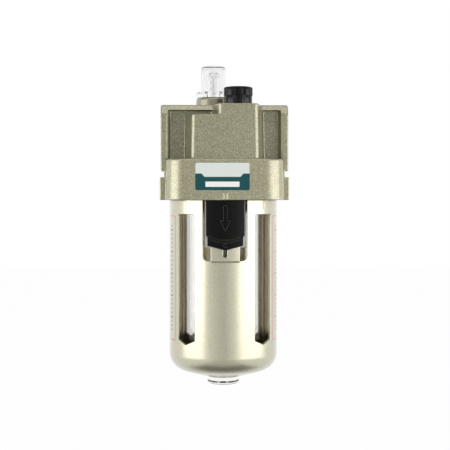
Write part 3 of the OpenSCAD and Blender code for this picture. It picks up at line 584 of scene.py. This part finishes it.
# %% [markdown]
# The body, the guard and the lock button are rounded copies of their solids. A CAD mesh is loose
# triangles, so the copy's points are merged and its flat faces joined first, and the modifier
# rounds the true edges and leaves the curved walls alone.
# %% Rounded copies of the hard pieces
def softened(node, name, material, width, body, segments=2):
    """A copy of the node's mesh with its edges rounded by their weight times width."""
    mesh = nodes[node].data.copy()
    mesh.name = name
    if "custom_normal" in mesh.attributes:
        mesh.attributes.remove(mesh.attributes["custom_normal"])
    work = bmesh.new()
    work.from_mesh(mesh)
    bmesh.ops.remove_doubles(work, verts=work.verts, dist=0.002 * MM)
    bmesh.ops.dissolve_limit(work, angle_limit=math.radians(0.6), verts=work.verts, edges=work.edges)
    weigh_edges(work, width)
    work.to_mesh(mesh)
    work.free()
    piece = placed(name, mesh)
    finish_mesh(piece, material)
    rounding = piece.modifiers.new("rounding", "BEVEL")
    rounding.width = width
    rounding.segments = segments
    rounding.limit_method = "WEIGHT"
    rounding.use_clamp_overlap = False
    rounding.harden_normals = True
    evening = piece.modifiers.new("evening", "WEIGHTED_NORMAL")
    evening.weight = 100
    evening.keep_sharp = True
    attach(piece, body)
    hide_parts(node)
    print(name, len(mesh.polygons), "faces before rounding")


softened("body", "housing_casting", body_paint, 0.6 * MM, "housing", 4)
softened("bowl_guard", "guard_shell", guard_paint, 0.3 * MM, "housing")
softened("lock_button", "button_moulding", button_plastic, 0.18 * MM, "lock")

# %% [markdown]
# Turned and moulded round pieces are surfaces of two parameters: a place along the outline and an
# angle round the axis. The whole grid is one numpy array, so the formula stands in one line.
# %% Surfaces on a grid
def grid_mesh(name, points, wrap):
    """A mesh from a rows by columns by 3 array. Where wrap is true the last column joins the
    first. Each face takes the four points of one step along both. Open ends get a cap."""
    rows, cols = points.shape[:2]
    index = np.arange(rows * cols).reshape(rows, cols)
    right = np.roll(index, -1, 1) if wrap else index[:, 1:]
    left = index if wrap else index[:, :-1]
    quads = np.stack([left[:-1], right[:-1], right[1:], left[1:]], -1).reshape(-1, 4)
    mesh = bpy.data.meshes.new(name)
    mesh.from_pydata(points.reshape(-1, 3).tolist(), [], quads.tolist())
    work = bmesh.new()
    work.from_mesh(mesh)
    bmesh.ops.remove_doubles(work, verts=work.verts, dist=0.001 * MM)
    bmesh.ops.holes_fill(work, edges=work.edges, sides=0)
    bmesh.ops.recalc_face_normals(work, faces=work.faces)
    work.to_mesh(mesh)
    work.free()
    print(name, len(mesh.polygons), "faces")
    return mesh


# %% [markdown]
# The outline of a turned piece is given as on a workshop drawing: a list of corners, each with
# the radius of its rounding. A Bevel modifier could round the turned piece, but it would round all
# its edges alike. Arcs that are worked out in the outline can each have their own radius.
# %% Outlines with round corners
def rounded(corners, steps=6):
    """An outline through corners of (radius, height, rounding). An arc starts at rounding over
    the tangent of half the corner's angle, and its middle lies on the bisector at rounding over
    the sine. Its points blend the two end radii, weighted by sines of the arc's two parts."""
    out = []
    for i, (r, z, size) in enumerate(corners):
        here = np.array([r, z])
        if size == 0 or i in (0, len(corners) - 1):
            out.append(here)
            continue
        back = np.array(corners[i - 1][:2]) - here
        ahead = np.array(corners[i + 1][:2]) - here
        back, ahead = back / np.linalg.norm(back), ahead / np.linalg.norm(ahead)
        half = math.acos(float(np.clip(back @ ahead, -1, 1))) / 2
        reach = size / math.tan(half)
        share = np.linspace(0, 1, steps + 1)[:, None]
        start, stop = here + back * reach, here + ahead * reach
        middle = here + (back + ahead) / np.linalg.norm(back + ahead) * size / math.sin(half)
        a, b = start - middle, stop - middle
        angle = math.acos(float(np.clip(a @ b / size ** 2, -1, 1)))
        arc = middle + (np.sin((1 - share) * angle) * a + np.sin(share * angle) * b) / math.sin(angle)
        out.extend(arc)
    return np.array(out)


print("one rounded corner has", len(rounded([(0, 0, 0), (2, 0, 1), (2, 2, 0)])) - 2, "points")

# %% [markdown]
# The bowl, the dome, the drip tube and the plug are all turned, so one lathe makes them. Blender
# has a Screw modifier for this. The formula does as much, and it lets a piece swell with the
# angle and the height, which gives the dome its hexagon and the plug its flutes.
# %% The lathe
def lathe(name, outline, centre, material, body, node, around, swell=None, sharp=40.0):
    """The outline turned about an upright axis at centre: x and y are the centre's plus the
    radius, times the swell of the angle and height, times the angle's cosine and sine."""
    angle = np.linspace(0, 2 * math.pi, around, endpoint=False)[None, :]
    r, z = outline[:, :1], outline[:, 1:]
    scale = 1.0 if swell is None else swell(angle, z)
    points = np.stack([centre[0] + r * scale * np.cos(angle),
                       centre[1] + r * scale * np.sin(angle), z * np.ones_like(angle)], -1)
    piece = placed(name, grid_mesh(name, points, True))
    finish_mesh(piece, material, sharp)
    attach(piece, body)
    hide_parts(node)


# %% [markdown]
# The bowl is one clear cup: a long wall, a bottom that slopes to the boss, and the boss itself,
# which comes out through the guard. The flange and the grooved spigot above hold and seal it in
# the body. The solid has the same sizes, but a clear piece shows every flat facet, so this
# outline has fine arcs and there are many columns round it.
# %% The clear bowl
bowl_r = 25.5 * MM
bowl_wall = 2.75 * MM
slope = math.radians(16.0)
boss_r = 8.8 * MM
boss_end_r = 4.65 * MM
boss_top = joint_z - 96.24 * MM
floor_z = joint_z - 93.38 * MM
flange_foot = joint_z + 10.5 * MM
flange_top = joint_z + 13.5 * MM
spigot_r = 25.9 * MM
groove_r = 24.3 * MM
groove_foot = flange_top + 1.5 * MM
groove_top = flange_top + 3.9 * MM


def bowl_outline():
    """From the boss's middle up the outside, over the rim, and down the inside to the middle of
    the floor. The bottom meets the wall at the slope's tangent times the radius between them."""
    end, rim = bowl_low.z, bowl_high.z
    inner_r = bowl_r - bowl_wall
    side_z = boss_top + (bowl_r - boss_r) * math.tan(slope)
    inner_z = floor_z + (inner_r - boss_r) * math.tan(slope)
    corners = [(0, end, 0), (boss_end_r, end, 0), (boss_r, end + 0.3 * MM, 1.45 * MM),
               (boss_r, boss_top, 0.5 * MM), (bowl_r, side_z, 8.8 * MM), (bowl_r, flange_foot, 0),
               (bowl_high.x, flange_foot, 0.2 * MM), (bowl_high.x, flange_top, 0.2 * MM),
               (spigot_r, flange_top, 0), (spigot_r, groove_foot, 0), (groove_r, groove_foot, 0),
               (groove_r, groove_top, 0), (spigot_r, groove_top, 0), (spigot_r, rim, 0.3 * MM),
               (inner_r, rim, 0.3 * MM), (inner_r, inner_z, 6.2 * MM),
               (boss_r, floor_z, 2 * MM), (0, floor_z, 0)]
    return rounded(corners, 10)


lathe("clear_bowl", bowl_outline(), (0, 0), bowl_plastic, "housing", "bowl", 256)

# %% [markdown]
# The sight dome is turned by its hexagon to set the drips. A hexagon could be cut from a disc,
# but one formula turns a circle into it: the distance to a flat side at a given angle is the half
# width over the cosine of the angle from that side's middle.
# %% The sight dome
hex_foot, hex_top = joint_z + 56.8 * MM, joint_z + 60.0 * MM
hex_half = (dome_high.y - dome_low.y) / 2
hex_edge = 0.10 * MM
dome_r, dome_in = 6.75 * MM, 5.45 * MM
neck_r, well_r, bore_r = 6.9 * MM, 4.6 * MM, 3.8 * MM
crown = 0.8 * MM
crown_z = dome_high.z - crown
roof = 1.3 * MM


def hex_swell(angle, z):
    """1 over the cosine of the angle from the nearest side's middle, at the hexagon's heights."""
    side = math.radians(60)
    from_middle = np.mod(angle, side) - side / 2
    in_hex = (z > hex_foot - 0.01 * MM) & (z < hex_top + 0.01 * MM)
    return np.where(in_hex, 1 / np.cos(from_middle), 1.0)


dome_outline = rounded([
    (bore_r, dome_low.z, 0), (neck_r, dome_low.z, 0), (neck_r, hex_foot - 0.02 * MM, 0),
    (hex_half - hex_edge, hex_foot, 0), (hex_half, hex_foot + hex_edge, 0),
    (hex_half, hex_top - hex_edge, 0), (hex_half - hex_edge, hex_top, 0),
    (dome_r, hex_top + 0.02 * MM, 0.0), (dome_r, crown_z, 0.6 * MM),
    (0.75 * dome_r, crown_z + 0.42 * crown, 2 * MM), (0.4 * dome_r, crown_z + 0.84 * crown, 2 * MM),
    (0, dome_high.z, 0), (0, crown_z - roof, 0), (dome_in, crown_z - roof, 0.6 * MM),
    (dome_in, hex_top - 1 * MM, 0), (well_r, hex_top - 1 * MM, 0),
    (well_r, dome_low.z + 1 * MM, 0), (bore_r, dome_low.z + 1 * MM, 0), (bore_r, dome_low.z, 0)])
lathe("clear_dome", dome_outline, (dome_x, 0), dome_plastic, "dome", "sight_dome",
      192, hex_swell, 30.0)

# %% [markdown]
# Inside the dome stands the drip tube, a thin clear stem on a foot, with a small umbrella over it
# that lets the oil fall in drops. It is turned from one outline like the dome, with short arcs,
# because light through the dome magnifies it.
# %% The drip tube
drip_low, drip_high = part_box("drip_nozzle")
umbrella_z = drip_high.z - 2.6 * MM
foot_r, stem_r, umbrella_r, hole_r = 4.5 * MM, 1.4 * MM, 3.15 * MM, 0.6 * MM
foot_z = drip_low.z + 2 * MM
drip_outline = rounded([
    (hole_r, drip_low.z, 0), (foot_r, drip_low.z, 0.2 * MM), (foot_r, foot_z, 0.2 * MM),
    (stem_r + 0.1 * MM, foot_z, 0.3 * MM), (stem_r, umbrella_z + 0.3 * MM, 0.3 * MM),
    (umbrella_r, umbrella_z, 0.15 * MM), (umbrella_r, umbrella_z + 0.7 * MM, 0.2 * MM),
    (2.3 * MM, umbrella_z + 2.4 * MM, 0.5 * MM), (0, drip_high.z, 0), (0, umbrella_z - 0.4 * MM, 0),
    (hole_r, umbrella_z - 0.4 * MM, 0), (hole_r, drip_low.z, 0)])
lathe("drip_tube", drip_outline, (dome_x, 0), drip_plastic, "dome", "drip_nozzle",
      96, None, 30.0)

# %% [markdown]
# The filler plug is gripped by hand, so its rim has flutes. Grooves could be cut out one by one.
# Here each flute is a soft dip in the radius that fades out towards the plain foot, and folding
# the angle back into one flute's share makes the eight dips from one formula.
# %% The fluted filler plug
flutes = 8
flute_depth, flute_width = 0.085, 0.075
grip_r, collar_r, screw_r, seal_r = 7.85 * MM, 7.6 * MM, 6.2 * MM, 4.9 * MM
grip_foot = joint_z + 56.2 * MM
seat_z = joint_z + 51.6 * MM
seal_foot, seal_top = joint_z + 49.3 * MM, joint_z + 51.1 * MM


def flute_swell(angle, z):
    """1 less a bell curve: the depth times e to the minus square of the angle from the flute's
    middle over its width. A straight ramp of half a millimetre brings it in above the foot."""
    share = 2 * math.pi / flutes
    from_middle = np.mod(angle, share) - share / 2
    dip = flute_depth * np.exp(-(from_middle / flute_width) ** 2)
    level = np.clip((z - grip_foot) / (0.5 * MM), 0, 1) * (z < plug_high.z - 0.05 * MM)
    return 1 - dip * level


plug_outline = rounded([
    (0, plug_low.z, 0), (screw_r - 0.8 * MM, plug_low.z, 0), (screw_r, plug_low.z + 0.8 * MM, 0),
    (screw_r, seal_foot, 0), (seal_r, seal_foot, 0), (seal_r, seal_top, 0),
    (screw_r, seal_top, 0), (screw_r, seat_z, 0), (collar_r, seat_z, 0.25 * MM),
    (collar_r, grip_foot, 0), (grip_r, grip_foot + 0.3 * MM, 0.1 * MM),
    (grip_r, grip_foot + 1.5 * MM, 0), (grip_r, grip_foot + 3.0 * MM, 0),
    (grip_r, plug_high.z, 0.9 * MM), (0, plug_high.z, 0)], 8)
lathe("plug_moulding", plug_outline, (plug_x, plug_y), black_plastic, "plug",
      "filler_plug", 320, flute_swell)

# %% [markdown]
# The ports have half inch pipe threads, and the solid has plain bores. A bump would look flat in a
# side view, so each thread is a ridge carried along a helix. The grid runs along the helix one
# way and across the ridge's outline the other: foot, crest, foot.
# %% Port threads
port_z = joint_z + 34.5 * MM
port_bore_r = 9.3 * MM
ridge = 0.62 * MM
pitch = 1.814 * MM
turns = 6.6


def port_thread(name, x_mouth, way):
    """The angle grows with the row, and x moves by one pitch a turn. The radius is the bore's
    less the ridge, which comes in and goes out over 1.2 radians of the helix."""
    angle = np.linspace(0, turns * 2 * math.pi, int(turns * 72))[:, None]
    fade = np.clip(np.minimum(angle, angle[-1] - angle) / 1.2, 0.02, 1)
    across = np.array([[-0.46, -0.10, 0.10, 0.46]]) * pitch
    r = port_bore_r - np.array([[-0.06, 1.0, 1.0, -0.06]]) * ridge * fade
    x = x_mouth - way * (pitch * angle / (2 * math.pi) + across)
    points = np.stack([x * np.ones_like(r), r * np.cos(angle), port_z + r * np.sin(angle)], -1)
    piece = placed(name, grid_mesh(name, np.concatenate([points, points[:, :1]], 1), False))
    finish_mesh(piece, body_paint, 50.0)
    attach(piece, "housing")


port_thread("inlet_thread", -(port_half - 2.4 * MM), -1)
port_thread("outlet_thread", port_half - 2.4 * MM, 1)

# %% [markdown]
# The lock spring pushes the button up, and shortens as the button is pushed down. It is a round
# wire along a helix. A curve with a bevel would do as well, but the helix and the wire's circle
# fit in one line each.
# %% The lock spring
wire_r = 0.25 * MM
coils = 6


def coil_spring():
    """The radius is the coil's plus the wire's times the cosine of the angle b round the wire,
    and the height is the helix's plus the wire's times the sine of b."""
    low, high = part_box("lock_spring")
    middle = np.array([(low.x + high.x) / 2, (low.y + high.y) / 2])
    t = np.linspace(0, 1, coils * 40)[:, None]
    a = 2 * math.pi * coils * t
    b = np.linspace(0, 2 * math.pi, 10, endpoint=False)[None, :]
    r = (high.x - low.x) / 2 - wire_r + wire_r * np.cos(b)
    z = low.z + wire_r + (high.z - low.z - 2 * wire_r) * t + wire_r * np.sin(b)
    points = np.stack([middle[0] + r * np.cos(a), middle[1] + r * np.sin(a), z], -1)
    piece = placed("spring_wire", grid_mesh("spring_wire", points, True))
    finish_mesh(piece, steel)
    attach(piece, "housing")
    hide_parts("lock_spring")
    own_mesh(piece)


coil_spring()

# %% [markdown]
# The other pieces sit inside the unit or are plain, so their solids are shown as they are. A new
# mesh would add nothing to them. They only get their finish, in their own material slot.
# %% Finishes for the carried-over solids
plain_finishes = {
    "nameplate": label_film, "lock_plate": pale_plastic, "dome_oring": seal_rubber,
    "plug_oring": seal_rubber, "bowl_oring": seal_rubber, "retainer_oring": seal_rubber,
    "metering_needle": brass, "needle_seat": brass, "passage_plug": brass,
    "damper": damper_rubber, "damper_retainer": zinc, "retainer_screws": steel,
    "check_ball": steel, "siphon_tube": milky_plastic, "strainer": bronze}
for node_name, material in plain_finishes.items():
    nodes[node_name].data.materials.clear()
    nodes[node_name].data.materials.append(material)
print("finished", len(plain_finishes), "carried-over solids")

# %% [markdown]
# The set is a pale floor well below the hanging unit. The camera and the clear plastic see it
# white, and it keeps a faint shadow, because a small share of it stays a plain lit surface. The
# polished foot of the guard mirrors it, and a studio table is never evenly bright there: the
# floor looks dark to reflections right under the unit and bright in front, behind and beside.
# %% The floor
floor_drop = 0.12
floor_half = 3.0
lit_share = 0.025
aisle_half, aisle_end = 0.085, 0.16


def pale_floor():
    """Reflections see the greater of three soft steps: one of y that falls to 0.05 towards the
    unit, one of y that rises to 1 behind it, and one of the distance to the side."""
    level = cad_low.z - floor_drop
    corners = [(-floor_half, -floor_half, level), (floor_half, -floor_half, level),
               (floor_half, floor_half, level), (-floor_half, floor_half, level)]
    mesh = bpy.data.meshes.new("floor")
    mesh.from_pydata(corners, [], [(0, 1, 2, 3)])
    floor = placed("floor", mesh)
    pale = Finish("floor", Base_Color=(0.86, 0.86, 0.86, 1), Roughness=0.9)
    x, y, z = pale.xyz()
    front = pale.ramp(y, -0.15, -0.085, 0.55, 0.05)
    behind = pale.ramp(y, -0.05, 0.09)
    beside = pale.ramp(x.size(), aisle_half, aisle_end)
    mirrored = front.math("MAXIMUM", behind).math("MAXIMUM", beside)
    glow = pale.node("ShaderNodeEmission", None,
                     {"Strength": pale.blend(pale.rays("Glossy"), 1.0, mirrored)})
    share = pale.rays("Camera", "Transmission", "Glossy") * (1 - lit_share)
    both = pale.node("ShaderNodeMixShader", None,
                     {0: share, 1: Wire(pale, pale.shader.outputs[0]), 2: glow})
    pale.plug_in(pale.tree.nodes["Material Output"].inputs[0], both)
    mesh.materials.append(pale.material)
    print("floor at", round(level, 3))


pale_floor()

# %% [markdown]
# Round the unit is white, as in a light tent. If reflections saw that white too, the metal would
# be one flat pale tone. So they see it dim in front, where the camera and the dark room are, and
# brighter at the sides, and the metal gets its shape from that.
# %% The surround
dim_left = math.radians(-50), math.radians(-13)
dim_right = math.radians(-12), math.radians(28)


def white_surround(fill, front_level, side_level, top_level):
    """The bearing is the angle round the upright axis, 0 towards the camera and less than 0 to
    the left. Reflections see front_level plus two soft steps of the bearing, which rise to
    side_level at either side, and top_level overhead. Surfaces are lit by fill, and the eye
    sees 1."""
    world = bpy.data.worlds.new("surround")
    bpy.context.scene.world = world
    world.use_nodes = True
    sky = Graph(world.node_tree)
    x, y, z = sky.apart(sky.node("ShaderNodeTexCoord", out="Generated"))
    bearing = x.math("ARCTAN2", -1.0 * y)
    left = sky.ramp(bearing, *dim_left, side_level - front_level, 0.0)
    right = sky.ramp(bearing, *dim_right, 0.0, side_level - front_level)
    mirrored = sky.blend(sky.ramp(z, 0.25, 0.75), left + right + front_level, top_level)
    plain = sky.blend(sky.rays("Glossy"), fill, mirrored)
    background = sky.tree.nodes["Background"]
    sky.plug_in(background.inputs["Strength"], sky.blend(sky.rays("Camera", "Transmission"), plain, 1.0))
    background.inputs["Color"].default_value = (1, 1, 1, 1)
    print("surround: fill", fill, "front", front_level, "sides", side_level, "top", top_level)


white_surround(fill=0.52, front_level=0.45, side_level=1.1, top_level=0.6)

# %% [markdown]
# Two wide soft boxes stand well out to the sides, a little in front of the unit. On the round
# guard each draws one broad upright highlight, and the metal between them stays mid-toned. They
# stand low, because a higher box would mirror in the body's flat top and clip it to white in views
# from behind. A weak third box hangs over the front and lights the top edges.
# %% Studio lamps
def facing(eye, aim):
    """The angles that turn a lamp or camera at eye from straight down towards aim. The tilt's
    tangent is the way's level length over its drop. The turn is the way's bearing less a
    quarter turn."""
    way = np.array(aim) - np.array(eye)
    return (math.atan2(math.hypot(way[0], way[1]), -way[2]), 0, math.atan2(way[1], way[0]) - math.pi / 2)


def soft_box(name, azimuth, height, distance, size, power):
    """A lamp at an azimuth from the camera's side: x is distance times its sine, and y is minus
    distance times its cosine. The height is over the joint plane, and the lamp faces the unit.
    Its brightness is the power over the area times pi."""
    lamp = bpy.data.lights.new(name, "AREA")
    lamp.shape = "RECTANGLE"
    lamp.size, lamp.size_y = size
    lamp.energy = power
    turn = math.radians(azimuth)
    place = placed(name, lamp)
    place.location = (distance * math.sin(turn), -distance * math.cos(turn), joint_z + height)
    place.rotation_euler = facing(place.location, (0, 0, joint_z))
    print(name, "brightness", round(power / (size[0] * size[1] * math.pi), 2))


soft_box("left_box", -67, -0.22, 0.9, (0.90, 0.8), 6.25)
soft_box("right_box", 61, -0.22, 0.9, (1.12, 0.8), 7.45)
soft_box("top_box", 0, 0.8, 0.42, (0.8, 0.35), 1.2)

# %% [markdown]
# The camera stands 600 mm from the bowl axis, two degrees to the left and level with the joint
# plane, and looks down a little. Near and far edges of one ring differ in width by the distance
# alone, and the ends of the ports show the angle: that foreshortening gives all three.
# %% Camera
camera_distance = 0.600
camera_azimuth = math.radians(-2.0)
frame_width = 0.25236
sensor_width = 36.0
aim_right, aim_below = 1.0 * MM, 14.0 * MM


def stand_camera():
    """The lens is the sensor's width times the distance over the width of the frame there."""
    lens = bpy.data.cameras.new("camera")
    lens.sensor_width = sensor_width
    lens.lens = sensor_width * camera_distance / frame_width
    lens.clip_start = 0.01
    camera = placed("camera", lens)
    eye = (camera_distance * math.sin(camera_azimuth),
           -camera_distance * math.cos(camera_azimuth), joint_z)
    camera.location = eye
    camera.rotation_euler = facing(eye, (aim_right, 0, joint_z - aim_below))
    bpy.context.scene.camera = camera
    print("lens", round(lens.lens, 1), "mm")


stand_camera()
bpy.context.scene.view_settings.view_transform = "Standard"
